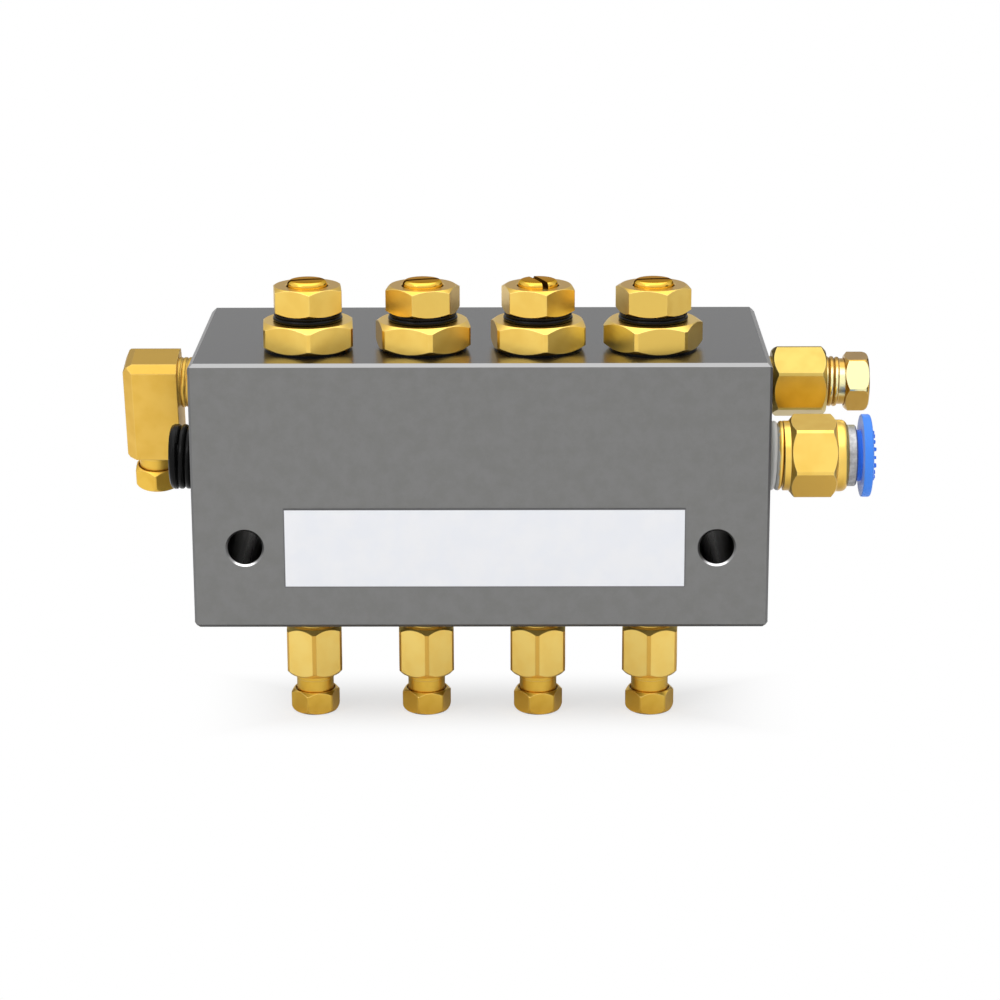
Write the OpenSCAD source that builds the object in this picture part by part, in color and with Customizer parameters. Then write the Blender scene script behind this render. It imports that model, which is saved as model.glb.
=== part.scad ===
// Lubrication distributor for air and oil: a drilled block with needle valves on top,
// compression outlets below, an oil gallery with its fittings at the back
// and an air gallery with its fittings at the front.
// Frame: +X right, +Y to the back, +Z up. The origin is on the back face,
// midway between the two mounting holes.

/* [Block] */
// Length of the block, from end to end
block_w = 110; // [108:1:130]
// Depth of the block, from the front face to the mounting face
block_d = 50; // [48:1:60]
// Height of the block
block_h = 52; // [50:1:60]
// Bevel on the four edges that run from front to back
side_bevel = 1.0; // [0.5:0.1:2]
// Bevel along the top and bottom edges of the front and back faces
face_bevel = 0.65; // [0.3:0.05:1.5]
// Bevel on the upright edges of the front and back faces
corner_bevel = 0.5; // [0.3:0.1:1.5]

/* [Mounting holes] */
// Distance between the two mounting holes
mount_pitch = 90; // [88:1:92]
// Height of the mounting holes above the underside of the block
mount_up = 16; // [14:0.5:18]
// Diameter of a mounting hole, clearance for an M6 screw
mount_d = 6.6; // [5.6:0.1:7]
// Bevel at both mouths of a mounting hole
mount_bevel = 0.4; // [0.2:0.1:0.8]

/* [Stations and galleries] */
// Distance from one metering station to the next
station_pitch = 22; // [21:0.5:23]
// Distance of the stations and the air gallery from the front face
station_in = 13.5; // [13:0.5:15]
// Height of the air gallery above the underside of the block
air_up = 30.5; // [29.5:0.5:31.5]
// Diameter of the air gallery
air_gallery_d = 8; // [6:0.5:9]
// Distance of the oil gallery from the front face
oil_in = 33; // [32:0.5:34]
// Height of the oil gallery above the underside of the block
oil_up = 40.5; // [40:0.5:42]
// Diameter of the oil gallery
oil_gallery_d = 5; // [4:0.5:5]

/* [Needle valves] */
// Across flats of the valve body
valve_af = 17; // [16:0.5:18]
// Height of the valve body's hexagon
valve_hex_h = 5.25; // [4.5:0.25:6]
// Thickness of the sealing washer under the valve body
washer_t = 0.35; // [0.2:0.05:0.8]
// Across flats of the lock nut
nut_af = 12.7; // [12:0.1:14]
// Height of the lock nut
nut_h = 5.2; // [4.5:0.1:6]
// Gap between valve body and lock nut that the round seal fills
seal_gap = 1.5; // [1.2:0.1:1.8]
// Height of the needle screw's head above the lock nut
head_up = 1.7; // [1.2:0.1:2.2]
// Width of the screwdriver slot
slot_w = 1.1; // [0.8:0.1:1.4]
// Lift of the needle screw for one turn
screw_pitch = 0.75; // [0.5:0.25:0.75]

/* [Tube fittings] */
// Lean of the elbow's leg, top towards the front
elbow_tilt = 12; // [0:1:15]
// Travel of the release collar on the push-in fitting
collar_travel = 0.9; // [0.5:0.1:0.9]

/* [Label] */
// Length of the blank label
label_w = 76.5; // [60:0.5:80]
// Height of the blank label
label_h = 15.5; // [10:0.5:16]
// Thickness of the blank label
label_t = 0.3; // [0.2:0.1:0.6]
// Offset of the label's centre from the middle of the block
label_x = 0.75; // [0:0.25:1.5]

/* [Hidden] */
$fn = 64;
eps = 0.01;

// Metering stations, each with its valve and its outlet
stations = 4;

// Outer diameters of the tubes, and the radial play of a tube in its bore
outlet_tube_d = 4;
oil_tube_d = 6;
air_tube_d = 8;
tube_play = 0.1;

// Block levels and places in the frame
top_z = block_h - mount_up;
bottom_z = -mount_up;
front_y = -block_d;
end_x = block_w / 2;
station_y = front_y + station_in;
air_z = air_up - mount_up;
oil_y = front_y + oil_in;
oil_z = oil_up - mount_up;
oil_depth = top_z - oil_z;
function station_x(k) = (k - (stations - 1) / 2) * station_pitch;

// Thread depths, and the shape of a crest in parts of the pitch
fine_pitch = 1;
fine_depth = 0.35;
pipe_pitch = 1.337;
pipe_depth = 0.6;
crest_foot = 0.1;
crest_side = 0.42;

// Valve bore, measured down from the top face
valve_thread_r = 7;
valve_thread_l = 9;
valve_port_l = 9.5;
nose_r = 6.2;
nose_end = 17.2;
oil_groove_r = 5.4;
oil_groove_w = 1.8;
valve_way_r = 1;
mix_r = 3;

// Valve parts above the top face
hex_top = washer_t + valve_hex_h;
nut_low = hex_top + seal_gap;
nut_top = nut_low + nut_h;
boss_r = 5.1;
boss_play = 0.05;
washer_in = 0.2;
valve_corner_r = 9.6;
valve_rim_in = 0.15;
valve_drop = 0.9;
nut_corner_r = 7.3;
nut_rim_in = 0.1;
nut_drop = 0.65;
nut_bevel = 0.2;

// Needle screw, measured from the top face
screw_bore_r = 4;
screw_play = 0.05;
screw_r = screw_bore_r - screw_play;
screw_bore_low = -5;
closed_room = 0.25;
screw_low = screw_bore_low + screw_pitch + closed_room;
gland_r = 3.3;
stem_r = 3.15;
stem_low = -9.5;
stem_groove_r = 2.3;
stem_groove_z = -7.05;
stem_groove_w = 1.3;
seal_play = 0.02;
needle_r = 1.6;
needle_cone_top = -11.7;
needle_tip_z = -14.2;
needle_tip_r = 0.35;
seat_z = -13.5;
seat_r = 1.1;

// Turn of each hexagon and of each slot, as the fitter left them
valve_turns = [-26, -19.5, -21.5, 8.5];
nut_turns = [-23.5, 16, -17.5, -11.5];
slot_turns = [14, 15, -68, 6];
outlet_turns = [27, 27, 31.5, 34];
outlet_bush_turns = [-15, -12, -9.5, -7];
oil_turn = 35.5;
oil_bush_turn = 3.5;
elbow_bush_turn = 31;
air_hex_turn = 10.5;

// Sizes of a compression fitting, by their place in its list
TUBE_R = 0;
THREAD_R = 1;
COLLAR_R = 2;
COLLAR_L = 3;
SHANK_R = 4;
SHANK_L = 5;
HEAD_AF = 6;
HEAD_H = 7;
small_bush = [outlet_tube_d / 2, 3.95, 3.7, 1.15, 3.62, 2.25, 8.5, 4.6];
large_bush = [oil_tube_d / 2, 5, 5, 2, 4.55, 1.7, 10.5, 4.75];

// Inside of every compression body, from its end face inwards
bush_thread_l = 5.8;
cone_angle = 12;
cone_l = 2.6;
cone_out = 0.9;
socket_l = 2.9;
// Ferrule: length inside the cone, lip outside it, and back that the bushing presses on
ferrule_nose = 2.1;
lip_out = 0.3;
lip_foot = 0.1;
lip_h = 0.5;
back_w = 0.4;
// Head of the bushing
bush_turned = 0.1;
bush_drop = 0.7;
bush_round = 1.25;
mouth_bevel = 0.5;
recess_h = 0.4;
recess_w = 0.35;
recess_foot_w = 0.1;
// Hexagon of a fitting's body
body_turned = 0.18;
body_rim_in = 0.25;
body_drop = 0.95;

// Outlet body, measured from the underside of the block
outlet_neck = 3.3;
outlet_af = 10.7;
outlet_hex_h = 10;
outlet_end = outlet_neck + outlet_hex_h;
outlet_thread_r = 4;
outlet_thread_l = 9;
outlet_port_l = 9.5;
outlet_way_r = 1.25;

// Oil inlet body, measured from the right end of the block
oil_neck = 2.4;
oil_af = 12.8;
oil_hex_h = 10.6;
oil_end = oil_neck + oil_hex_h;
oil_thread_r = 5;
oil_thread_l = 9;
oil_port_l = 9.5;
oil_way_r = 2;

// Elbow, measured from the crossing of its two axes
elbow_out = 10.5;
elbow_x = -end_x - elbow_out;
elbow_half = 5.4;
elbow_up = 5.75;
elbow_leg = 14.65;

// Push-in fitting, measured from the right end of the block
air_thread_r = 6.58;
air_port_l = 11;
air_thread_l = 10.5;
air_way_r = 3;
air_crest_r = 6.75;
air_crests = 2;
air_collar_h = 1.2;
air_hex_low = 4.5;
air_hex_h = 9;
air_af = 14.3;
shoulder_r = 6.95;
shoulder_end = 15.65;
shoulder_round = 1.3;
tube_stop = 3;
chamber_r = 5.5;
chamber_low = 7.5;
air_seal_h = 1.2;
lip_play = 0.05;
claw_low = 8.9;
claw_top = 10;
claw_t = 0.35;
claw_teeth = 12;
claw_slit = 0.4;
guide_r = 5.95;
guide_end = 17.3;
guide_bevel = 0.25;
collar_r = 4.93;
collar_play = 0.07;
collar_low = 10.55;
collar_rest_gap = 0.1;
flange_low = guide_end + collar_travel + collar_rest_gap;
flange_r = 8;
flange_rim = 1.8;
flange_h = 2.7;

// Threaded plug in the left end of the air gallery
plug_out = 5;
plug_in = 9;
plug_r = 6.3;
plug_rib_w = 1.7;
plug_socket_af = 6;
plug_socket_l = 5;

// Plugs that close the cross drillings in the mounting face
cross_plug_r = 3;
cross_port_l = 7;
cross_plug_l = 5.5;
cross_sunk = 0.5;
cross_way_r = 1.5;
cross_socket_af = 3;
cross_socket_l = 3;

brass = "goldenrod";
rubber = "black";

// A rectangle with its four corners cut off at 45 degrees
module cut_corners(w, h, c) {
    polygon([
        [-w / 2 + c, -h / 2], [w / 2 - c, -h / 2], [w / 2, -h / 2 + c], [w / 2, h / 2 - c],
        [w / 2 - c, h / 2], [-w / 2 + c, h / 2], [-w / 2, h / 2 - c], [-w / 2, -h / 2 + c]]);
}

// Axes that point along X, along Y or down
module along_x(x, y, z) {
    translate([x, y, z]) rotate([90, 0, 90]) children();
}
module along_y(x, y, z) {
    translate([x, y, z]) rotate([-90, 0, 0]) children();
}
module downwards(x, y, z) {
    translate([x, y, z]) rotate([180, 0, 0]) children();
}

function across_corners(af) = af / cos(30);

// A hexagonal prism with two flats facing along Y when turn is 0
module hex_bar(af, h, turn) {
    rotate(turn) cylinder(h = h, d = across_corners(af), $fn = 6);
}

// Hexagonal stock with both ends turned: the turning leaves a face of radius rim_r
// and meets the corners, at radius corner_r, a little way down
module hex_head(af, h, corner_r, rim_r, drop, turn) {
    intersection() {
        hex_bar(af, h, turn);
        rotate_extrude() polygon([
            [0, 0], [rim_r, 0], [corner_r, drop], [corner_r, h - drop], [rim_r, h], [0, h]]);
    }
}

// Outline of a turned end at height top: a quarter round that starts at radius r
function rounded_end(r, top, round_r) = [
    for (a = [0:18:90]) [r - round_r * (1 - cos(a)), top - round_r * (1 - sin(a))]];

// Thread crests as rings, from z = 0 upwards
module crests(r, root, pitch, count) {
    profile = [[root, crest_foot], [r, crest_side], [r, 1 - crest_side], [root, 1 - crest_foot]];
    rotate_extrude() polygon(concat(
        [[0, 0], [root, 0]],
        [for (i = [0:count - 1], p = profile) [p[0], (i + p[1]) * pitch]],
        [[root, count * pitch], [0, count * pitch]]));
}

// A ring of round section, such as an o-ring
module round_ring(ring_r, section_r) {
    rotate_extrude() translate([ring_r, 0]) circle(section_r, $fn = 32);
}

module block() {
    color("gray") difference() {
        block_stock();
        mounting_holes();
        for (k = [0:stations - 1]) {
            valve_bore(station_x(k));
            outlet_port(station_x(k));
            cross_drilling(station_x(k));
        }
        oil_gallery();
        air_gallery();
    }
}

module block_stock() {
    mid = [0, -block_d / 2, (top_z + bottom_z) / 2];
    translate(mid) intersection() {
        rotate([90, 0, 0]) linear_extrude(block_d, center = true)
            cut_corners(block_w, block_h, side_bevel);
        rotate([90, 0, 90]) linear_extrude(block_w, center = true)
            cut_corners(block_d, block_h, face_bevel);
        linear_extrude(block_h, center = true) cut_corners(block_w, block_d, corner_bevel);
    }
}

module mounting_holes() {
    for (side = [-1, 1]) along_y(side * mount_pitch / 2, front_y, 0) {
        translate([0, 0, -1]) cylinder(h = block_d + 2, d = mount_d);
        translate([0, 0, -eps])
            cylinder(h = mount_bevel + eps, r1 = mount_d / 2 + mount_bevel + eps, r2 = mount_d / 2);
        translate([0, 0, block_d - mount_bevel])
            cylinder(h = mount_bevel + eps, r1 = mount_d / 2, r2 = mount_d / 2 + mount_bevel + eps);
    }
}

// Stepped bore from the top face: valve thread, valve nose, then the mixing bore,
// which crosses the air gallery on its way to the outlet port
module valve_bore(x) {
    translate([x, station_y, top_z]) {
        translate([0, 0, -valve_port_l]) cylinder(h = valve_port_l + 1, r = valve_thread_r);
        translate([0, 0, -nose_end]) cylinder(h = nose_end, r = nose_r);
        translate([0, 0, outlet_port_l - block_h - eps])
            cylinder(h = block_h - outlet_port_l, r = mix_r);
    }
}

module outlet_port(x) {
    translate([x, station_y, bottom_z - 1]) cylinder(h = outlet_port_l + 1, r = outlet_thread_r);
}

// Drilled from the mounting face through the oil gallery to the valve nose
module cross_drilling(x) {
    reach = -station_y - nose_r + 1;
    along_y(x, -reach, oil_z) cylinder(h = reach + 1, r = cross_way_r);
    along_y(x, -cross_port_l, oil_z) cylinder(h = cross_port_l + 1, r = cross_plug_r);
}

module oil_gallery() {
    along_x(-end_x - 1, oil_y, oil_z) cylinder(h = block_w + 2, d = oil_gallery_d);
    along_x(-end_x - 1, oil_y, oil_z) cylinder(h = oil_port_l + 1, r = oil_thread_r);
    along_x(end_x - oil_port_l, oil_y, oil_z) cylinder(h = oil_port_l + 1, r = oil_thread_r);
}

module air_gallery() {
    along_x(-end_x - 1, station_y, air_z) cylinder(h = block_w + 2, d = air_gallery_d);
    along_x(-end_x - 1, station_y, air_z) cylinder(h = air_port_l + 1, r = air_thread_r);
    along_x(end_x - air_port_l, station_y, air_z) cylinder(h = air_port_l + 1, r = air_thread_r);
}

module blank_label() {
    color("white") translate([label_x - label_w / 2, front_y - label_t, -label_h / 2])
        cube([label_w, label_t, label_h]);
}

// Valve station k, with z = 0 on the top face of the block
module at_valve(k) {
    translate([station_x(k), station_y, top_z]) children();
}

module valve_washer(k) {
    color(rubber) at_valve(k) difference() {
        cylinder(h = washer_t, r = valve_af / 2 - washer_in);
        translate([0, 0, -1]) cylinder(h = washer_t + 2, r = valve_thread_r);
    }
}

// Hexagon and boss above the block; thread, oil groove, gland and seat inside it
module valve_body(k) {
    groove_top = -oil_depth + oil_groove_w / 2;
    groove_low = -oil_depth - oil_groove_w / 2;
    color(brass) at_valve(k) difference() {
        union() {
            translate([0, 0, washer_t]) hex_head(valve_af, valve_hex_h, valve_corner_r,
                valve_af / 2 - valve_rim_in, valve_drop, valve_turns[k]);
            rotate_extrude() polygon([
                [0, nut_low], [boss_r, nut_low], [boss_r, hex_top - eps],
                [valve_thread_r, hex_top - eps], [valve_thread_r, -valve_thread_l + 1],
                [nose_r, -valve_thread_l], [nose_r, groove_top], [oil_groove_r, groove_top],
                [oil_groove_r, groove_low], [nose_r, groove_low], [nose_r, -nose_end],
                [0, -nose_end]]);
        }
        translate([0, 0, screw_bore_low])
            cylinder(h = nut_low - screw_bore_low + 1, r = screw_bore_r);
        translate([0, 0, seat_z]) cylinder(h = screw_bore_low - seat_z + eps, r = gland_r);
        translate([0, 0, -nose_end - 1]) cylinder(h = nose_end, r = seat_r);
        along_y(0, -nose_r - 1, -oil_depth) cylinder(h = 2 * nose_r + 2, r = valve_way_r);
    }
}

// The screw's domed head shows in the lock nut, and its needle meets the seat below
module needle_screw(k) {
    head_z = nut_top + head_up;
    shoulder_z = nut_top - 0.15;
    shoulder_top_r = 3.7;
    shoulder_low_z = nut_top - 0.7;
    relief_z = nut_top - 0.95;
    crown_r = 2.95;
    crown_z = nut_top + 0.75;
    crown_foot_r = 3.4;
    crown_foot_z = nut_top + 0.5;
    slot_floor = nut_top - 0.2;
    crown_rise = head_z - crown_z;
    ball_r = (crown_r * crown_r + crown_rise * crown_rise) / (2 * crown_rise);
    crown = [for (i = [0:5]) let (r = crown_r * i / 5)
        [r, head_z - ball_r + sqrt(ball_r * ball_r - r * r)]];
    groove_low = stem_groove_z - stem_groove_w / 2;
    groove_high = stem_groove_z + stem_groove_w / 2;
    color(brass) at_valve(k) difference() {
        rotate_extrude() polygon(concat(crown, [
            [crown_foot_r, crown_foot_z], [shoulder_top_r, shoulder_z],
            [shoulder_top_r, shoulder_low_z], [screw_r, relief_z], [screw_r, screw_low],
            [stem_r, screw_low], [stem_r, groove_high], [stem_groove_r, groove_high],
            [stem_groove_r, groove_low], [stem_r, groove_low], [stem_r, stem_low],
            [needle_r, stem_low], [needle_r, needle_cone_top],
            [needle_tip_r, needle_tip_z], [0, needle_tip_z]]));
        rotate(slot_turns[k]) translate([-screw_r - 1, -slot_w / 2, slot_floor])
            cube([2 * screw_r + 2, slot_w, head_up + 2]);
    }
}

module stem_seal(k) {
    section = (gland_r - stem_groove_r) / 2 - seal_play;
    color(rubber) at_valve(k) translate([0, 0, stem_groove_z])
        round_ring((gland_r + stem_groove_r) / 2, section);
}

module lock_seal(k) {
    section = seal_gap / 2;
    color(rubber) at_valve(k) translate([0, 0, hex_top + section])
        round_ring(boss_r + section + boss_play, section);
}

module lock_nut(k) {
    color(brass) at_valve(k) translate([0, 0, nut_low]) difference() {
        hex_head(nut_af, nut_h, nut_corner_r, nut_af / 2 - nut_rim_in, nut_drop, nut_turns[k]);
        translate([0, 0, -1]) cylinder(h = nut_h + 2, r = screw_bore_r);
        translate([0, 0, nut_h - nut_bevel])
            cylinder(h = nut_bevel + eps, r1 = screw_bore_r, r2 = screw_bore_r + nut_bevel + eps);
    }
}

function tube_bore_r(bush) = bush[TUBE_R] + tube_play;
function cone_mouth_r(bush) = bush[TUBE_R] + cone_out;
function ferrule_lip_r(bush) = cone_mouth_r(bush) + lip_out;
function ferrule_back_r(bush) = tube_bore_r(bush) + back_w;
// The back of the ferrule slopes at 45 degrees, so its height is its width
function back_h(bush) = ferrule_lip_r(bush) - ferrule_back_r(bush);
function bush_head_z(bush, end) = end + bush[COLLAR_L] + bush[SHANK_L];

// Inside of a compression body whose end face is at z = end: thread for the bushing,
// cone for the ferrule, socket for the tube and a way through to z = low
module tube_end_bores(bush, end, way_r, low) {
    mouth = end - bush_thread_l;
    cone_in_r = cone_mouth_r(bush) - cone_l * tan(cone_angle);
    translate([0, 0, mouth]) cylinder(h = bush_thread_l + 1, r = bush[THREAD_R]);
    translate([0, 0, mouth - cone_l]) cylinder(h = cone_l, r1 = cone_in_r, r2 = cone_mouth_r(bush));
    translate([0, 0, mouth - cone_l - socket_l])
        cylinder(h = socket_l + eps, r = tube_bore_r(bush));
    translate([0, 0, low]) cylinder(h = mouth - cone_l - low, r = way_r);
}

// Double cone ring that grips the tube, seated between the body's cone and the bushing
module tube_ferrule(bush, end) {
    mouth = end - bush_thread_l;
    back = mouth + lip_h + back_h(bush);
    nose_wide_r = cone_mouth_r(bush) - ferrule_nose * tan(cone_angle);
    rotate_extrude() polygon([
        [tube_bore_r(bush), mouth - ferrule_nose], [nose_wide_r, mouth - ferrule_nose],
        [cone_mouth_r(bush), mouth], [ferrule_lip_r(bush), mouth + lip_foot],
        [ferrule_lip_r(bush), mouth + lip_h], [ferrule_back_r(bush), back],
        [tube_bore_r(bush), back]]);
}

// Male bushing that presses on the ferrule: thread, shank and hexagonal head
module tube_bushing(bush, end, crest_pitch, turn) {
    nose = end - bush_thread_l + lip_h;
    head = bush_head_z(bush, end);
    tip = head + bush[HEAD_H];
    bore_r = tube_bore_r(bush);
    difference() {
        union() {
            translate([0, 0, nose]) cylinder(h = end - nose, r = bush[THREAD_R]);
            translate([0, 0, end - eps]) cylinder(h = head - end + 1, r = bush[SHANK_R]);
            translate([0, 0, end - eps]) bushing_collar(bush, crest_pitch);
            translate([0, 0, head]) bushing_head(bush, turn);
        }
        translate([0, 0, nose - 1]) cylinder(h = tip - nose + 2, r = bore_r);
        translate([0, 0, nose - eps]) cylinder(
            h = back_h(bush) + eps, r1 = ferrule_lip_r(bush) + eps, r2 = ferrule_back_r(bush));
        translate([0, 0, tip - mouth_bevel])
            cylinder(h = mouth_bevel + eps, r1 = bore_r, r2 = bore_r + mouth_bevel + eps);
        translate([0, 0, head - eps]) bushing_recess(bush);
    }
}

// Thread or collar of the bushing that shows outside the body
module bushing_collar(bush, crest_pitch) {
    if (crest_pitch > 0) crests(
        bush[COLLAR_R], bush[SHANK_R], crest_pitch, floor(bush[COLLAR_L] / crest_pitch));
    else cylinder(h = bush[COLLAR_L], r = bush[COLLAR_R]);
}

// Hexagonal head whose outer end is turned to a full round
module bushing_head(bush, turn) {
    af = bush[HEAD_AF];
    corner_r = across_corners(af) / 2 - bush_turned;
    intersection() {
        hex_bar(af, bush[HEAD_H], turn);
        rotate_extrude() polygon(concat(
            [[0, 0], [af / 2 - bush_turned, 0], [corner_r, bush_drop]],
            rounded_end(corner_r, bush[HEAD_H], bush_round), [[0, bush[HEAD_H]]]));
    }
}

// Shallow turned recess in the head, round the shank
module bushing_recess(bush) {
    difference() {
        cylinder(h = recess_h, r1 = bush[SHANK_R] + recess_w, r2 = bush[SHANK_R] + recess_foot_w);
        translate([0, 0, -1]) cylinder(h = recess_h + 2, r = bush[SHANK_R]);
    }
}

module body_hex(af, h, turn) {
    hex_head(af, h, across_corners(af) / 2 - body_turned, af / 2 - body_rim_in, body_drop, turn);
}

// Body of a straight fitting: thread into the block, neck, hexagon, tube end
module straight_body(bush, neck, af, hex_h, thread_r, thread_l, way_r, turn) {
    root = thread_r - fine_depth;
    difference() {
        union() {
            translate([0, 0, -thread_l]) cylinder(h = thread_l, r = thread_r);
            translate([0, 0, -eps]) cylinder(h = neck + 1, r = root);
            crests(thread_r, root, fine_pitch, floor(neck / fine_pitch));
            translate([0, 0, neck]) body_hex(af, hex_h, turn);
        }
        tube_end_bores(bush, neck + hex_h, way_r, -thread_l - 1);
    }
}

// Outlet k, with z = 0 on the underside of the block and z growing downwards
module at_outlet(k) {
    downwards(station_x(k), station_y, bottom_z) children();
}

module outlet_body(k) {
    color(brass) at_outlet(k) straight_body(
        small_bush, outlet_neck, outlet_af, outlet_hex_h,
        outlet_thread_r, outlet_thread_l, outlet_way_r, outlet_turns[k]);
}

module outlet_ferrule(k) {
    color(brass) at_outlet(k) tube_ferrule(small_bush, outlet_end);
}

module outlet_bushing(k) {
    color(brass) at_outlet(k) tube_bushing(
        small_bush, outlet_end, 0, outlet_bush_turns[k]);
}

// Oil inlet, with z = 0 on the right end of the block and z growing to the right
module at_oil_inlet() {
    along_x(end_x, oil_y, oil_z) children();
}

module oil_inlet_body() {
    color(brass) at_oil_inlet() straight_body(
        large_bush, oil_neck, oil_af, oil_hex_h,
        oil_thread_r, oil_thread_l, oil_way_r, oil_turn);
}

module oil_inlet_ferrule() {
    color(brass) at_oil_inlet() tube_ferrule(large_bush, oil_end);
}

module oil_inlet_bushing() {
    color(brass) at_oil_inlet() tube_bushing(large_bush, oil_end, fine_pitch, oil_bush_turn);
}

// Elbow frame: the origin is where the port and the leg cross, the leg points to -Z
module at_elbow() {
    translate([elbow_x, oil_y, oil_z]) rotate([elbow_tilt, 0, 0]) children();
}
module at_elbow_leg() {
    at_elbow() rotate([180, 0, 0]) children();
}

// Square bar elbow, cut to shape by its outlines from below, from the side and from the front
module elbow_bar() {
    h = elbow_half;
    upright_bevel = 1.9;
    front_bevel = 1.45;
    back_round = 2.1;
    outer_round = 1.9;
    knee = 0.6;
    foot_bevel = 0.5;
    from_below = [
        [-h + upright_bevel, -h], [h, -h], [h, h], [-h + upright_bevel, h],
        [-h, h - upright_bevel], [-h, -h + upright_bevel]];
    from_side = [
        [-h, -elbow_leg], [h, -elbow_leg], [h, elbow_up - back_round],
        [h - knee, elbow_up - knee], [h - back_round, elbow_up],
        [-h + front_bevel, elbow_up], [-h, elbow_up - front_bevel]];
    from_front = [
        [-h + foot_bevel, -elbow_leg], [h, -elbow_leg], [h, elbow_up],
        [-h + outer_round, elbow_up], [-h + knee, elbow_up - knee],
        [-h, elbow_up - outer_round], [-h, -elbow_leg + foot_bevel]];
    intersection() {
        translate([0, 0, -elbow_leg]) linear_extrude(elbow_leg + elbow_up) polygon(from_below);
        rotate([90, 0, 90]) linear_extrude(4 * h, center = true) polygon(from_side);
        rotate([90, 0, 0]) linear_extrude(4 * h, center = true) polygon(from_front);
    }
}

module elbow_body() {
    port_end = elbow_out;
    neck_l = port_end - elbow_half;
    rings = floor(neck_l / fine_pitch);
    root = oil_thread_r - fine_depth;
    color(brass) at_elbow() difference() {
        union() {
            elbow_bar();
            along_x(elbow_half - 1, 0, 0) cylinder(h = neck_l + 1 + eps, r = root);
            along_x(port_end, 0, 0) cylinder(h = oil_thread_l, r = oil_thread_r);
            along_x(port_end - rings * fine_pitch, 0, 0)
                crests(oil_thread_r, root, fine_pitch, rings);
        }
        rotate([180, 0, 0]) tube_end_bores(small_bush, elbow_leg, outlet_way_r, 0);
        along_x(0, 0, 0) cylinder(h = port_end + oil_thread_l + 1, r = oil_way_r);
    }
}

module elbow_ferrule() {
    color(brass) at_elbow_leg() tube_ferrule(small_bush, elbow_leg);
}

module elbow_bushing() {
    color(brass) at_elbow_leg() tube_bushing(small_bush, elbow_leg, 0, elbow_bush_turn);
}

// Air inlet, with z = 0 on the right end of the block and z growing to the right
module at_air_inlet() {
    along_x(end_x, station_y, air_z) children();
}

module air_inlet_body() {
    root = air_thread_r - pipe_depth;
    crests_end = air_crests * pipe_pitch;
    collar_low_z = air_hex_low - air_collar_h;
    hex_end = air_hex_low + air_hex_h;
    color(brass) at_air_inlet() difference() {
        union() {
            translate([0, 0, -air_thread_l]) cylinder(h = air_thread_l, r = air_thread_r);
            crests(air_crest_r, root, pipe_pitch, air_crests);
            translate([0, 0, crests_end - eps]) cylinder(h = 1, r = root);
            translate([0, 0, collar_low_z]) cylinder(h = air_collar_h + 1, r = air_crest_r);
            translate([0, 0, air_hex_low]) body_hex(air_af, air_hex_h, air_hex_turn);
            rotate_extrude() polygon(concat([[0, hex_end - 1], [shoulder_r, hex_end - 1]],
                rounded_end(shoulder_r, shoulder_end, shoulder_round), [[0, shoulder_end]]));
        }
        translate([0, 0, -air_thread_l - 1])
            cylinder(h = air_thread_l + tube_stop + 2, r = air_way_r);
        translate([0, 0, tube_stop])
            cylinder(h = chamber_low, r = air_tube_d / 2 + tube_play);
        translate([0, 0, chamber_low]) cylinder(h = shoulder_end, r = chamber_r);
    }
}

// Lipped seal that closes on the tube
module air_inlet_seal() {
    lip_r = air_tube_d / 2 + lip_play;
    heel_w = 0.25;
    heel_h = 0.3;
    lip_edge = 0.15;
    lip_w = 0.2;
    groove_w = 0.7;
    groove_l = 0.5;
    back_in = 0.9;
    color(rubber) at_air_inlet() translate([0, 0, chamber_low]) rotate_extrude() polygon([
        [lip_r + heel_w, 0], [chamber_r, 0], [chamber_r, air_seal_h],
        [lip_r + back_in, air_seal_h], [lip_r + groove_w, air_seal_h - groove_l],
        [lip_r + lip_w, air_seal_h], [lip_r, air_seal_h - lip_edge], [lip_r, heel_h]]);
}

// Spring steel claw: a ring with teeth that lean inwards and away from the mouth
module tube_claw() {
    tip_r = air_tube_d / 2 + 0.15;
    tip_w = 0.12;
    tip_h = 0.3;
    tip_drop = 0.05;
    bend_r = 4.95;
    bend_in = 0.1;
    slit_end = bend_r - 0.15;
    color("silver") at_air_inlet() difference() {
        rotate_extrude() polygon([
            [tip_r, claw_low], [tip_r + tip_w, claw_low - tip_drop], [bend_r, claw_top - claw_t],
            [chamber_r, claw_top - claw_t], [chamber_r, claw_top],
            [bend_r - bend_in, claw_top], [tip_r, claw_low + tip_h]]);
        for (i = [0:claw_teeth - 1]) rotate(i * 360 / claw_teeth)
            translate([0, -claw_slit / 2, claw_low - 1]) cube([slit_end, claw_slit, 3]);
    }
}

// Zinc guide ring, pressed into the body to hold the claw and carry the collar
module guide_ring() {
    color("silver") at_air_inlet() difference() {
        rotate_extrude() polygon([
            [0, claw_top], [chamber_r, claw_top], [chamber_r, shoulder_end],
            [guide_r, shoulder_end], [guide_r, guide_end - guide_bevel],
            [guide_r - guide_bevel, guide_end], [0, guide_end]]);
        translate([0, 0, claw_top - 1])
            cylinder(h = guide_end - claw_top + 2, r = collar_r + collar_play);
    }
}

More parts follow.
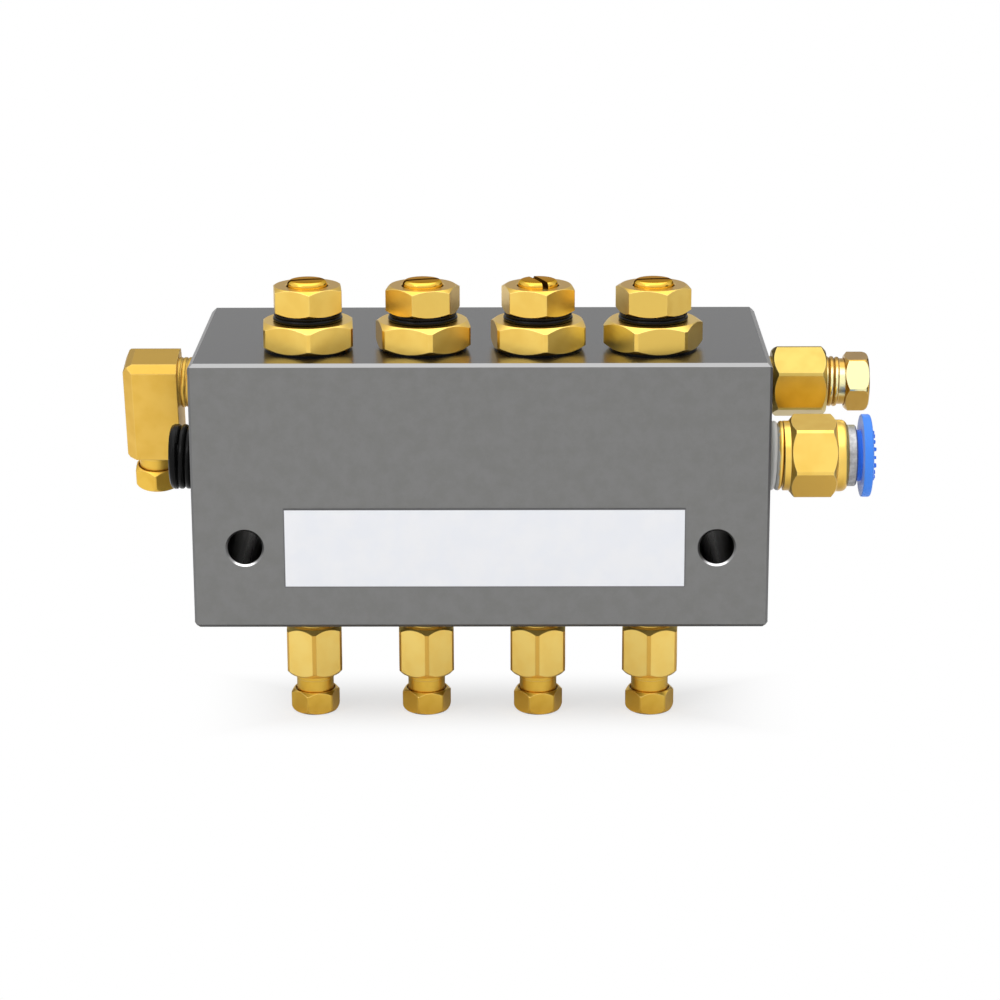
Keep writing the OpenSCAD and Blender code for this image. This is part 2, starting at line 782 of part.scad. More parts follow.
// Pressing the flange pushes the nose against the claw and frees the tube
module release_collar() {
    bore_r = air_tube_d / 2 + tube_play;
    rim_end = flange_low + flange_rim;
    flange_end = flange_low + flange_h;
    edge = 0.2;
    nose_w = 0.5;
    nose_l = 0.8;
    step_in = 1.1;
    step_h = 0.35;
    face_in = 2.4;
    mouth = 0.6;
    color("dodgerblue") at_air_inlet() rotate_extrude() polygon([
        [bore_r, collar_low], [collar_r - nose_w, collar_low], [collar_r, collar_low + nose_l],
        [collar_r, flange_low], [flange_r - edge, flange_low], [flange_r, flange_low + edge],
        [flange_r, rim_end - edge], [flange_r - edge, rim_end],
        [flange_r - step_in, flange_end - step_h], [flange_r - face_in, flange_end],
        [bore_r + mouth, flange_end], [bore_r, flange_end - mouth]]);
}

// Gallery plug, with z = 0 on the left end of the block and z growing to the left
module gallery_plug() {
    rib_low = plug_out - plug_rib_w;
    root = plug_r - pipe_depth;
    turns = floor(rib_low / pipe_pitch);
    foot = 0.45;
    side = 0.75;
    knee = 0.25;
    color("black") translate([-end_x, station_y, air_z]) rotate([0, -90, 0]) difference() {
        union() {
            translate([0, 0, -plug_in]) cylinder(h = plug_in, r = air_thread_r);
            cylinder(h = rib_low + 1, r = root);
            translate([0, 0, rib_low - turns * pipe_pitch]) crests(plug_r, root, pipe_pitch, turns);
            translate([0, 0, rib_low]) rotate_extrude() polygon([
                [0, 0], [plug_r - foot, 0], [plug_r, foot], [plug_r, plug_rib_w - side],
                [plug_r - knee, plug_rib_w - knee], [plug_r - side, plug_rib_w], [0, plug_rib_w]]);
        }
        translate([0, 0, plug_out - plug_socket_l]) hex_bar(plug_socket_af, plug_socket_l + 1, 0);
    }
}

module cross_plug(k) {
    color("dimgray") along_y(station_x(k), -cross_sunk - cross_plug_l, oil_z) difference() {
        cylinder(h = cross_plug_l, r = cross_plug_r);
        translate([0, 0, cross_plug_l - cross_socket_l])
            hex_bar(cross_socket_af, cross_socket_l + 1, 0);
    }
}

block();
blank_label();
for (k = [0:stations - 1]) {
    valve_washer(k);
    valve_body(k);
    needle_screw(k);
    stem_seal(k);
    lock_seal(k);
    lock_nut(k);
    outlet_body(k);
    outlet_ferrule(k);
    outlet_bushing(k);
    cross_plug(k);
}
oil_inlet_body();
oil_inlet_ferrule();
oil_inlet_bushing();
elbow_body();
elbow_ferrule();
elbow_bushing();
air_inlet_body();
air_inlet_seal();
tube_claw();
guide_ring();
release_collar();
gallery_plug();
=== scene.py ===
# %% [markdown]
# This script dresses a lubrication distributor: a drilled metal block with four needle
# valves on top, four tube outlets below, and fittings for oil and air on its two ends.
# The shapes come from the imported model, which is loaded as a fixed frame. What follows
# adds the fine threads, the grip teeth and the finishes, and then sets up a small studio.

# %% Load the frame
import bmesh
import bpy
import math
from mathutils import Matrix, Vector


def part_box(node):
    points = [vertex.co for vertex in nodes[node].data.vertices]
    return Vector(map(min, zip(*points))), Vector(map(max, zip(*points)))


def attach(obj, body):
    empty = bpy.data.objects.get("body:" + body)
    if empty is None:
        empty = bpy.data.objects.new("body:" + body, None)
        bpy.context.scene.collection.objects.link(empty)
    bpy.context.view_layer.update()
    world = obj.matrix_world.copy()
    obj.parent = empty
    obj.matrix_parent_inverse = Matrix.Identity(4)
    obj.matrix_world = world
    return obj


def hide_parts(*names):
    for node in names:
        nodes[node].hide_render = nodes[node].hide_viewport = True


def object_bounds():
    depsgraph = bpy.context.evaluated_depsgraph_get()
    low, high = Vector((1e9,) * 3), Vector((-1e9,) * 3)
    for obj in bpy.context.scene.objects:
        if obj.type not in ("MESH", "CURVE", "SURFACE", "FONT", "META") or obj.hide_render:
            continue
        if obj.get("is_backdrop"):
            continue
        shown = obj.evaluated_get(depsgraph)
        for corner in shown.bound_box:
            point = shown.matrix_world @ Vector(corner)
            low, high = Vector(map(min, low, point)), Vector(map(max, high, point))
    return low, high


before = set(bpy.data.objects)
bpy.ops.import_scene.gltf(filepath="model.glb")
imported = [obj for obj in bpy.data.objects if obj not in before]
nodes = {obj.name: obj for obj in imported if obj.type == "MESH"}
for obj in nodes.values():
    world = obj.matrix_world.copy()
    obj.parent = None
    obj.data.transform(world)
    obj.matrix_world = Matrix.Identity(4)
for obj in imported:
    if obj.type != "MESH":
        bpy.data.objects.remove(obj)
cad_low, cad_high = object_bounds()
MM = 0.001
print("frame of", len(nodes), "nodes, size in mm", [round(s / MM, 1) for s in cad_high - cad_low])

# %% [markdown]
# The camera stands where the photographer's stood. Its place and turn were worked out by
# matching the corners of the block, so they are written here as plain numbers. A long lens
# from over half a metre away keeps the upright edges of the block nearly parallel.

# %% Camera
CAMERA_AT = Vector((8.18, -610.02, 170.42)) * MM
YAW, PITCH, ROLL = (math.radians(a) for a in (-0.456, 16.031, -0.202))
FOCAL_PIXELS, IMAGE_PIXELS, SENSOR = 3070.9, 1000, 36.0
NEAREST, FARTHEST = 0.01, 20

ahead = Vector((math.sin(YAW) * math.cos(PITCH), math.cos(YAW) * math.cos(PITCH),
                -math.sin(PITCH)))
level = Vector((math.cos(YAW), -math.sin(YAW), 0))
upward = level.cross(ahead)
right = math.cos(ROLL) * level + math.sin(ROLL) * upward
up = math.cos(ROLL) * upward - math.sin(ROLL) * level

camera_data = bpy.data.cameras.new("camera")
camera_data.sensor_width = SENSOR
camera_data.lens = FOCAL_PIXELS * SENSOR / IMAGE_PIXELS
camera_data.clip_start, camera_data.clip_end = NEAREST, FARTHEST
camera = bpy.data.objects.new("camera", camera_data)
camera_turn = Matrix((right, up, -ahead)).transposed().to_4x4()
camera.matrix_world = Matrix.Translation(CAMERA_AT) @ camera_turn
bpy.context.scene.collection.objects.link(camera)
bpy.context.scene.camera = camera
print("lens in mm", round(camera_data.lens, 2))

# %% [markdown]
# Shaders and Geometry Nodes are both graphs. Writing them as Python sums keeps them
# readable, so one small class wraps a socket and lets + - * build the Math nodes.
# Any other node comes from one method: its settings go in first, then its sockets.

# %% Helpers for node graphs
class Wire:
    """The output of a node, which can be used in sums."""

    def __init__(self, graph, socket):
        self.graph, self.socket = graph, socket

    def _sum(self, operation, first, second):
        return self.graph.node("ShaderNodeMath", {"operation": operation}, {0: first, 1: second})

    def __add__(self, other): return self._sum("ADD", self, other)
    def __radd__(self, other): return self._sum("ADD", other, self)
    def __sub__(self, other): return self._sum("SUBTRACT", self, other)
    def __rsub__(self, other): return self._sum("SUBTRACT", other, self)
    def __mul__(self, other): return self._sum("MULTIPLY", self, other)
    def __rmul__(self, other): return self._sum("MULTIPLY", other, self)

    def size(self):
        """The value without its sign."""
        return self.graph.node("ShaderNodeMath", {"operation": "ABSOLUTE"}, {0: self})

    def larger(self, other):
        return self._sum("MAXIMUM", self, other)

    def root(self):
        return self.graph.node("ShaderNodeMath", {"operation": "SQRT"}, {0: self})

    def step(self, low, high):
        """0 below low, 1 above high, and a smooth rise between them."""
        return self.graph.node(
            "ShaderNodeMapRange", {"interpolation_type": "SMOOTHSTEP"},
            {"Value": self, "From Min": low, "From Max": high})


class Graph:
    """A node tree that is filled from Python."""

    def __init__(self, tree):
        self.tree = tree

    def node(self, kind, settings=None, sockets=None, give=0):
        made = self.tree.nodes.new(kind)
        for name, value in (settings or {}).items():
            setattr(made, name, value)
        for name, value in (sockets or {}).items():
            self.feed(made.inputs[name], value)
        return Wire(self, made.outputs[give])

    def feed(self, socket, value):
        if isinstance(value, Wire):
            self.tree.links.new(value.socket, socket)
        else:
            socket.default_value = value


print("node helpers:", Wire.__name__, "and", Graph.__name__)

# %% [markdown]
# Every finish below is one material with a pattern of its own. The pattern is measured in
# millimetres from a chosen place on the object, such as the axis of a fitting, so that its
# scale is the real one. Colours are written as they are read off a screen, from 0 to 255.
# Edges take a painted highlight, or painted shade on the outlets, and gaps take painted
# shade, so two helpers find those places. The Bevel node and the Ambient Occlusion node
# look around each point, so neither adds any geometry.

# %% Helpers for finishes
EDGE_AGREES, EDGE_DIFFERS = 0.004, 0.12
OPEN_GROUND, DEEP_GAP = 0.45, 0.95
SOFT_SAMPLES = 6


def screen(red, green, blue):
    """A colour as it is read off a screen, 0 to 255, as the linear colour a shader wants."""
    parts = [c / 255 for c in (red, green, blue)]
    return [c / 12.92 if c < 0.04045 else ((c + 0.055) / 1.055) ** 2.4 for c in parts] + [1]


def even_grey(level):
    return screen(level, level, level)


class Finish(Graph):
    """A material whose patterns are in millimetres from a chosen place on the object."""

    def __init__(self, name, centre=(0, 0, 0), turn=(0, 0, 0)):
        self.material = bpy.data.materials.new(name)
        self.material.use_nodes = True
        super().__init__(self.material.node_tree)
        self.shader = self.tree.nodes["Principled BSDF"]
        own = self.node("ShaderNodeTexCoord", give="Object")
        self.spot = self.node("ShaderNodeMapping", {"vector_type": "TEXTURE"}, {
            "Vector": own, "Location": [c * MM for c in centre],
            "Rotation": [math.radians(a) for a in turn], "Scale": (MM, MM, MM)})

    def part(self, vector, axis):
        return self.node("ShaderNodeSeparateXYZ", {}, {"Vector": vector}, give=axis)

    def stretched(self, x, y, z):
        return self.node("ShaderNodeVectorMath", {"operation": "MULTIPLY"},
                         {0: self.spot, 1: (x, y, z)})

    def noise(self, vector, scale=1.0, detail=2.0, roughness=0.5):
        return self.node("ShaderNodeTexNoise", {}, {
            "Vector": vector, "Scale": scale, "Detail": detail, "Roughness": roughness})

    def mix(self, share, first, second):
        return self.node("ShaderNodeMix", {"data_type": "RGBA"}, {0: share, 6: first, 7: second},
                         give=2)

    def soft_edges(self, radius_mm):
        """The normal as it would be if every edge were rounded a little."""
        return self.node("ShaderNodeBevel", {"samples": SOFT_SAMPLES}, {"Radius": radius_mm * MM})

    def facing(self, direction):
        """How squarely the surface faces a direction, from -1 to 1."""
        normal = self.node("ShaderNodeNewGeometry", give="Normal")
        return self.node("ShaderNodeVectorMath", {"operation": "DOT_PRODUCT"},
                         {0: normal, 1: direction}, give="Value")

    def edges(self, radius_mm):
        """1 on sharp edges and 0 on flat ground."""
        return (1 - self.facing(self.soft_edges(radius_mm))).step(EDGE_AGREES, EDGE_DIFFERS)

    def crevices(self, reach_mm):
        """1 deep in gaps and inner corners, 0 on open ground."""
        openness = self.node("ShaderNodeAmbientOcclusion", {"samples": SOFT_SAMPLES},
                             {"Distance": reach_mm * MM}, give="AO")
        return (1 - openness).step(OPEN_GROUND, DEEP_GAP)

    def bumps(self, height, depth_mm, normal=None):
        sockets = {"Height": height, "Distance": depth_mm * MM, "Strength": 1.0}
        if normal:
            sockets["Normal"] = normal
        return self.node("ShaderNodeBump", {}, sockets)

    def wear(self, **sockets):
        """Sets the shader's sockets, such as base_color or roughness."""
        for name, value in sockets.items():
            title = {"ior": "IOR"}.get(name, name.replace("_", " ").title())
            self.feed(self.shader.inputs[title], value)
        return self.material


def dress(finish, *names):
    """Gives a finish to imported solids."""
    for name in names:
        nodes[name].data.materials.clear()
        nodes[name].data.materials.append(finish)


print("middle grey as a linear colour", [round(c, 3) for c in even_grey(128)])

# %% [markdown]
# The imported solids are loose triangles, so a round wall would show as a row of flat strips.
# A small Geometry Nodes tree welds the triangles and shades smoothly across every edge that
# bends less than a chosen angle. The solids keep their shape, and real corners stay crisp.

# %% Smooth round walls
WELD = 0.002 * MM
SOFT_CORNER = 20


def empty_tree(name, sockets, result):
    """A new tree, the graph that fills it, and one wire for each of its named inputs."""
    tree = bpy.data.node_groups.new(name, "GeometryNodeTree")
    for title, kind in sockets:
        tree.interface.new_socket(title, in_out="INPUT", socket_type="NodeSocket" + kind)
    tree.interface.new_socket(result, in_out="OUTPUT", socket_type="NodeSocketGeometry")
    plan = Graph(tree)
    given = tree.nodes.new("NodeGroupInput")
    return tree, plan, [Wire(plan, given.outputs[i]) for i in range(len(sockets))]


def smoothing_tree():
    tree, plan, (solid, corner) = empty_tree("smooth_round_walls", (
        ("Solid", "Geometry"), ("Corner", "Float")), "Solid")
    welded = plan.node("GeometryNodeMergeByDistance", {}, {"Geometry": solid, "Distance": WELD})
    bend = plan.node("GeometryNodeInputMeshEdgeAngle")
    crisp = plan.node("ShaderNodeMath", {"operation": "GREATER_THAN"}, {0: bend, 1: corner})
    soft = plan.node("GeometryNodeSetShadeSmooth", {"domain": "FACE"}, {"Geometry": welded})
    kept = plan.node("GeometryNodeSetShadeSmooth", {"domain": "EDGE"},
                     {"Geometry": soft, "Selection": crisp, "Shade Smooth": False})
    plan.feed(tree.nodes.new("NodeGroupOutput").inputs[0], kept)
    return tree


def keep_flats_flat(piece):
    """Lets a broad flat rule the shading where it meets a narrow round."""
    piece.modifiers.new("keep_flats_flat", "WEIGHTED_NORMAL").keep_sharp = True


smoothing = smoothing_tree()
corner_socket = smoothing.interface.items_tree["Corner"].identifier
for solid in nodes.values():
    modifier = solid.modifiers.new("smooth_round_walls", "NODES")
    modifier.node_group = smoothing
    modifier[corner_socket] = math.radians(SOFT_CORNER)
    keep_flats_flat(solid)
print("round walls smoothed on", len(nodes), "solids")

# %% [markdown]
# The block is a sawn bar of grey metal whose faces are ground and left satin. Ground metal
# is never one even grey: it has a faint cloudy mottling and a fine grain below that. The
# bevels and the rims of the mounting holes were cut last. Their colour is painted light: a
# painted highlight where they look up, and painted shade where they look down. The walls of
# the holes are painted dark, as painted shade inside them. The shader finds each from where
# a point lies and which way it faces. Noise stays near one half, so a step between two
# limits spreads it over the whole range from 0 to 1.

# %% Satin block
X_AXIS, Y_AXIS, Z_AXIS = (1, 0, 0), (0, 1, 0), (0, 0, 1)
HOLE_X, HOLE_R = 45, 3.3
RIM_ENDS, RIM_GONE = HOLE_R + 1, HOLE_R + 1.2
WALL_ENDS, WALL_GONE = HOLE_R + 0.02, HOLE_R + 0.06
CLOUDY, SQUARE_ON, ON_A_FACE = (0.3, 0.7), (0.9, 0.99), (0.85, 0.95)
BEVEL_TURNS_UP, RIM_TURNS_UP = (-0.55, 0.6), (0.5, 0.68)
GROUND = (screen(127, 127, 125), screen(132, 132, 131))
# The wall tone is painted shade inside the mounting holes.
GRAIN_TONE, TOP_TONE, HOLE_SHADE = screen(146, 146, 144), screen(123, 123, 124), screen(58, 56, 52)
# Painted shade and painted highlight on the bevels and rims.
BEVEL_SHADE, BEVEL_HIGHLIGHT, RIM_HIGHLIGHT = even_grey(90), even_grey(148), even_grey(232)

block = Finish("satin_block")
clouds = block.noise(block.stretched(1, 1, 1), scale=0.3, detail=4, roughness=0.65)
grain = block.noise(block.stretched(0.8, 1, 1.3), scale=5, detail=3, roughness=0.7)
looking_up = block.facing(Z_AXIS)
level_face = looking_up.size().step(*SQUARE_ON)
grey = block.mix(clouds.step(*CLOUDY), *GROUND)
grey = block.mix((grain - 0.5).size() * 0.4, grey, GRAIN_TONE)
grey = block.mix(level_face, grey, TOP_TONE)
across = block.part(block.spot, "X").size() - HOLE_X
upward = block.part(block.spot, "Z")
from_hole = (across * across + upward * upward).root()
rim = 1 - from_hole.step(RIM_ENDS, RIM_GONE)
squarely = block.facing(X_AXIS).size().larger(
    block.facing(Y_AXIS).size()).larger(looking_up.size())
bevelled = 1 - squarely.step(*ON_A_FACE)
# A painted highlight on the rims and upper bevels, painted shade on the lower bevels.
bevel_and_rim_highlight = block.mix(rim * looking_up.step(*RIM_TURNS_UP), BEVEL_HIGHLIGHT, RIM_HIGHLIGHT)
bevel_light_and_shade = block.mix(looking_up.step(*BEVEL_TURNS_UP), BEVEL_SHADE, bevel_and_rim_highlight)
grey = block.mix(bevelled, grey, bevel_light_and_shade)
# Painted shade on the walls of the holes.
hole_shade_mask = 1 - from_hole.step(WALL_ENDS, WALL_GONE)
block.wear(
    base_color=block.mix(hole_shade_mask, grey, HOLE_SHADE), metallic=1.0,
    roughness=0.42 - level_face * 0.16 - bevelled * 0.12 + (grain - 0.5) * 0.08,
    normal=block.bumps(grain, 0.01, block.soft_edges(0.08)))
dress(block.material, "block")
print("block finish has", len(block.tree.nodes), "nodes")

# %% [markdown]
# The label is a plain white film. A thin dark line along its border is a painted shadow
# of the film's edge, which the shader finds by how near a point is to the border of the
# rectangle.

# %% Blank label
# The border tone is a painted shadow.
FILM, BORDER_SHADOW = (screen(246, 248, 253), screen(250, 251, 254)), screen(92, 92, 94)
LINE_ENDS, LINE_GONE = 0.1, 0.24

label_low, label_high = (Vector(c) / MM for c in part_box("blank_label"))
label_mid = (label_low + label_high) / 2
label = Finish("label_film", centre=label_mid)
from_side = (label_high.x - label_mid.x) - label.part(label.spot, "X").size()
from_top = (label_high.z - label_mid.z) - label.part(label.spot, "Z").size()
inside = 0 - (0 - from_side).larger(0 - from_top)
film = label.mix(label.noise(label.spot, scale=0.2).step(*CLOUDY), *FILM)
label.wear(
    base_color=label.mix(inside.step(LINE_ENDS, LINE_GONE), BORDER_SHADOW, film), roughness=0.4,
    normal=label.bumps(label.noise(label.spot, scale=3.0), 0.003))
dress(label.material, "blank_label")
print("label in mm", [round(s, 2) for s in label_high - label_low])

# %% [markdown]
# The brass pieces are cut from hexagon bar on a lathe. The flats keep the drawn bar's faint
# streaks, which run along its axis. The ends carry fine rings from the turning tool. Each
# piece gets the same finish with its own axis, so that the rings are centred on it. Two
# tones of each brass alternate in large stains. A tapered thread that goes into the block
# is sealed with a pale paste, which ends in a ragged line.

# %% Brass bar finish
BRASS = (screen(252, 214, 110), screen(246, 204, 98))
PALE_BRASS = (screen(255, 222, 124), screen(252, 214, 112))
# The shaded, dim and deep copies are darker brass, painted shade on pieces that are to look less
# lit.
SHADED_BRASS = (screen(200, 174, 92), screen(190, 164, 84))
DIM_BRASS = (screen(206, 164, 82), screen(196, 154, 72))
SHADED_DEEP_BRASS = (screen(246, 202, 86), screen(236, 188, 72))
# The edge tones are a painted highlight and painted shade on edges; the gap tone is painted shade.
EDGE_HIGHLIGHT, EDGE_SHADE = screen(255, 238, 168), screen(220, 174, 80)
GAP_SHADE, PASTE = screen(84, 56, 18), screen(205, 205, 202)
EDGE_R, EDGE_SHARE, GAP_REACH = 0.22, 0.6, 0.7
BLOTCHY, ON_END, RINGS_PER_MM = (0.35, 0.7), (0.55, 0.8), 7
PASTE_ROUGHNESS, PASTE_RELIEF, PASTE_FADE, PASTE_RAGGED = 0.5, 40, 0.3, 0.8


def brass_bar(name, centre, turn=(0, 0, 0), axis=Z_AXIS, tones=BRASS, polish=0.3,
              edge=EDGE_HIGHLIGHT, sealed_to=None, light_and_shade=(), corner_r=None):
    """Brass whose streaks run along the finish's own Z, turned to lie on the piece's axis.

    Each side is (direction, low, high, tone): faces that look that way take another tone, a
    painted highlight where it is lighter and painted shade where it is darker. Where the
    corners of the hexagon were turned down to a radius, they take painted shade.
    """
    brass = Finish(name, centre, turn)
    streaks = brass.noise(brass.stretched(5, 5, 0.25), detail=3, roughness=0.6)
    x, y = brass.part(brass.spot, "X"), brass.part(brass.spot, "Y")
    from_axis = (x * x + y * y).root()
    tool_path = brass.node("ShaderNodeCombineXYZ", {}, {"X": from_axis * RINGS_PER_MM})
    rings = brass.noise(tool_path, detail=1)
    on_end = brass.facing(axis).size().step(*ON_END)
    marks = streaks + on_end * (rings - streaks)
    stain = brass.noise(brass.spot, scale=0.22, detail=2)
    colour = brass.mix(stain.step(*BLOTCHY), *tones)
    # Painted light: a face that looks one way takes a lighter or darker tone.
    for direction, low, high, tone in light_and_shade:
        colour = brass.mix(brass.facing(direction).step(low, high), colour, tone)
    # Painted shade on the turned corners.
    if corner_r:
        on_corner = from_axis.step(corner_r - 0.06, corner_r - 0.03)
        colour = brass.mix(on_corner, colour, EDGE_SHADE)
    # A painted highlight on the edges, or painted shade where the edge tone is dark.
    colour = brass.mix(brass.edges(EDGE_R) * EDGE_SHARE, colour, edge)
    # Painted shade in gaps and inner corners.
    colour = brass.mix(brass.crevices(GAP_REACH), colour, GAP_SHADE)
    bare, relief, gloss = 1.0, marks, polish + (marks - 0.5) * 0.04
    if sealed_to is not None:
        ragged = brass.noise(brass.spot, scale=0.9, detail=3)
        level = brass.part(brass.spot, "Z") + ragged * PASTE_RAGGED
        bare = level.step(sealed_to, sealed_to + PASTE_FADE)
        colour = brass.mix(bare, PASTE, colour)
        relief = marks + (1 - bare) * ragged * PASTE_RELIEF
        gloss = bare * (gloss - PASTE_ROUGHNESS) + PASTE_ROUGHNESS
    return brass.wear(base_color=colour, metallic=bare, roughness=gloss,
                      normal=brass.bumps(relief, 0.0003, brass.soft_edges(0.12)))


print("brass tones", len((BRASS, PALE_BRASS, SHADED_BRASS, DIM_BRASS, SHADED_DEEP_BRASS)))

# %% [markdown]
# The pieces take different copies of brass: partly as real bars differ a little in tone, and
# partly as painted shade. The faces of one piece take painted light: the tops of the lock
# nuts and the fronts of two nuts and one valve body have painted shade, that valve body a
# painted highlight on its left, the oil bushing a painted highlight in front, the air inlet
# painted shade below, and the outlets painted shade on their turned corners. Each valve and
# fitting has materials of its own, so one is easy to change without the others. The needle
# screws come later, with their slots.

# %% Brass on the valves and fittings
STATION_X, STATION_Y, STATIONS = (-33, -11, 11, 33), -36.5, (1, 2, 3, 4)
OIL_INLET, AIR_INLET = (55, -17, 24.5), (55, STATION_Y, 14.5)
LEFT, FRONT, DOWN = (-1, 0, 0), (0, -1, 0), (0, 0, -1)
ALONG_X, OUTLET_CORNER_R, SEALED_TO = (0, 90, 0), 5.998, 2.5
# Painted light on single faces: shade on the nut tops, in front and below, highlights on the left
# and in front.
NUT_TOP_SHADE = (Z_AXIS, 0.76, 0.95, screen(216, 170, 52))
FRONT_SHADE = (FRONT, 0.93, 0.98, screen(232, 196, 98))
LEFT_HIGHLIGHT = (LEFT, 0.5, 0.75, screen(255, 240, 158))
FRONT_HIGHLIGHT = ((0, -0.98, 0.2), 0.75, 0.9, screen(250, 244, 186))
UNDERSIDE_SHADE = (DOWN, 0.2, 0.7, screen(222, 178, 78))
VALVE_LIGHT_AND_SHADE = {4: [FRONT_SHADE, LEFT_HIGHLIGHT]}
NUT_LIGHT_AND_SHADE = {2: [FRONT_SHADE], 4: [FRONT_SHADE]}

for number, x in zip(STATIONS, STATION_X):
    at = (x, STATION_Y, 0)
    dress(brass_bar(f"valve_brass_{number}", at, light_and_shade=VALVE_LIGHT_AND_SHADE.get(number, [])),
          f"valve_body_{number}")
    dress(brass_bar(f"nut_brass_{number}", at, light_and_shade=[NUT_TOP_SHADE] + NUT_LIGHT_AND_SHADE.get(number, [])),
          f"lock_nut_{number}")
    # The outlets take painted shade on their edges and turned corners.
    dress(brass_bar(f"outlet_brass_{number}", at, tones=PALE_BRASS, edge=EDGE_SHADE,
                    corner_r=OUTLET_CORNER_R), f"outlet_body_{number}")
    dress(brass_bar(f"bushing_brass_{number}", at, tones=SHADED_DEEP_BRASS),
          f"outlet_bushing_{number}", f"outlet_ferrule_{number}")
dress(brass_bar("oil_inlet_brass", OIL_INLET, ALONG_X, X_AXIS, tones=SHADED_BRASS),
      "oil_inlet_body")
dress(brass_bar("oil_bush_brass", OIL_INLET, ALONG_X, X_AXIS, tones=DIM_BRASS, polish=0.22,
                light_and_shade=[FRONT_HIGHLIGHT]), "oil_inlet_bushing", "oil_inlet_ferrule")
dress(brass_bar("air_inlet_brass", AIR_INLET, ALONG_X, X_AXIS, sealed_to=SEALED_TO,
                light_and_shade=[UNDERSIDE_SHADE]), "air_inlet_body")
print("stations at x", STATION_X, "y", STATION_Y)
print("brass finishes", len([m for m in bpy.data.materials if "brass" in m.name]))

# %% [markdown]
# The elbow is sawn from square bar and tumbled, so it has a dull, finely pitted skin with
# no turning marks. Its top faces take painted shade, its edges a painted highlight and its
# gaps painted shade. Its leg leans 12 degrees, and the bushing under it leans with it.

# %% Tumbled elbow
ELBOW_AT, LEAN = (-65.5, -17, 24.5), 12
ELBOW_TONES, ELBOW_TOP_SHADE = (screen(246, 202, 96), screen(240, 194, 86)), screen(198, 161, 72)
TURNS_UP = (0.2, 0.65)

elbow = Finish("tumbled_brass", ELBOW_AT, (LEAN, 0, 0))
pits = elbow.noise(elbow.spot, scale=3.2, detail=4, roughness=0.75)
tone = elbow.mix(elbow.noise(elbow.spot, scale=0.25).step(*CLOUDY), *ELBOW_TONES)
# Painted shade on the faces that look up.
tone = elbow.mix(elbow.facing(Z_AXIS).step(*TURNS_UP), tone, ELBOW_TOP_SHADE)
# A painted highlight on the edges.
tone = elbow.mix(elbow.edges(0.35) * 0.3, tone, EDGE_HIGHLIGHT)
# Painted shade in gaps.
tone = elbow.mix(elbow.crevices(GAP_REACH), tone, GAP_SHADE)
elbow.wear(base_color=tone, metallic=1.0, roughness=0.42 + (pits - 0.5) * 0.15,
           normal=elbow.bumps(pits, 0.015, elbow.soft_edges(0.3)))
dress(elbow.material, "elbow_body")
leg = (0, math.sin(math.radians(LEAN)), -math.cos(math.radians(LEAN)))
dress(brass_bar("elbow_bush_brass", ELBOW_AT, (LEAN, 0, 0), leg, tones=SHADED_DEEP_BRASS, polish=0.42),
      "elbow_bushing", "elbow_ferrule")
print("elbow leg points to", [round(c, 3) for c in leg])

# %% [markdown]
# The seals are moulded rubber, nearly black, with a skin that is smooth but not glassy. The
# gallery plug is harder and shinier, and the plugs in the back are blackened steel. One
# helper makes all three, since only how dark and how rough they are differs.

# %% Black seals and plugs
SKIN_SPREAD = 8


def black_moulding(name, level, roughness):
    black = Finish(name)
    skin = black.noise(black.spot, scale=2.5, detail=3)
    return black.wear(
        base_color=black.mix(skin, even_grey(level), even_grey(level + SKIN_SPREAD)),
        ior=1.22, roughness=roughness + (skin - 0.5) * 0.12,
        normal=black.bumps(skin, 0.006, black.soft_edges(0.1)))


rubber = black_moulding("seal_rubber", 5, 0.26)
for number in STATIONS:
    dress(rubber, *[f"{kind}_{number}" for kind in ("valve_washer", "stem_seal", "lock_seal")])
dress(rubber, "air_inlet_seal")
dress(black_moulding("plug_black", 6, 0.24), "gallery_plug")
dress(black_moulding("blackened_steel", 40, 0.38), *[f"cross_plug_{k}" for k in STATIONS])
print("rubber on", len([n for n in nodes.values() if n.data.materials[:] == [rubber]]), "solids")

# %% [markdown]
# The ring round the collar is die-cast zinc: a dull grey with the patchy skin that metal
# takes on when it sets against a cold mould. The claw behind it is sprung steel, which was
# rolled smooth and so is lighter, shinier and more even.

# %% Zinc ring and steel claw
def grey_metal(name, dark, light, scale, roughness):
    metal = Finish(name)
    patches = metal.noise(metal.spot, scale=scale, detail=4, roughness=0.7)
    colour = metal.mix(patches.step(*CLOUDY), screen(dark, dark, dark + 1), even_grey(light))
    return metal.wear(base_color=colour, metallic=1.0, roughness=roughness + (patches - 0.5) * 0.2,
                      normal=metal.bumps(patches, 0.02, metal.soft_edges(0.1)))


dress(grey_metal("die_cast_zinc", 148, 188, 0.9, 0.42), "guide_ring")
dress(grey_metal("spring_steel", 170, 195, 2.0, 0.25), "tube_claw")
print("finishes so far", len(bpy.data.materials))

# %% [markdown]
# The release collar is moulded in blue acetal: a waxy plastic with a soft sheen. Its colour
# is deep on the stem and paler on the flange. Faces that look back towards the block are
# painted paler still, a painted glow of light that passes a little way in.

# %% Blue release collar
STEM_BLUE, FLANGE_BLUE = screen(52, 130, 252), screen(76, 146, 254)
INNER_FACE_GLOW, WAXY_BLUE = screen(176, 190, 252), screen(90, 150, 250)
STEM_ENDS, FLANGE_STARTS, LOOKS_IN = 4.95, 5.4, (0.6, 0.9)

collar = Finish("blue_acetal", AIR_INLET)
wax = collar.noise(collar.spot, scale=0.7, detail=2)
y, z = collar.part(collar.spot, "Y"), collar.part(collar.spot, "Z")
on_flange = (y * y + z * z).root().step(STEM_ENDS, FLANGE_STARTS)
inner_face = (0 - collar.facing(X_AXIS)).step(*LOOKS_IN)
blue = collar.mix(on_flange, STEM_BLUE, FLANGE_BLUE)
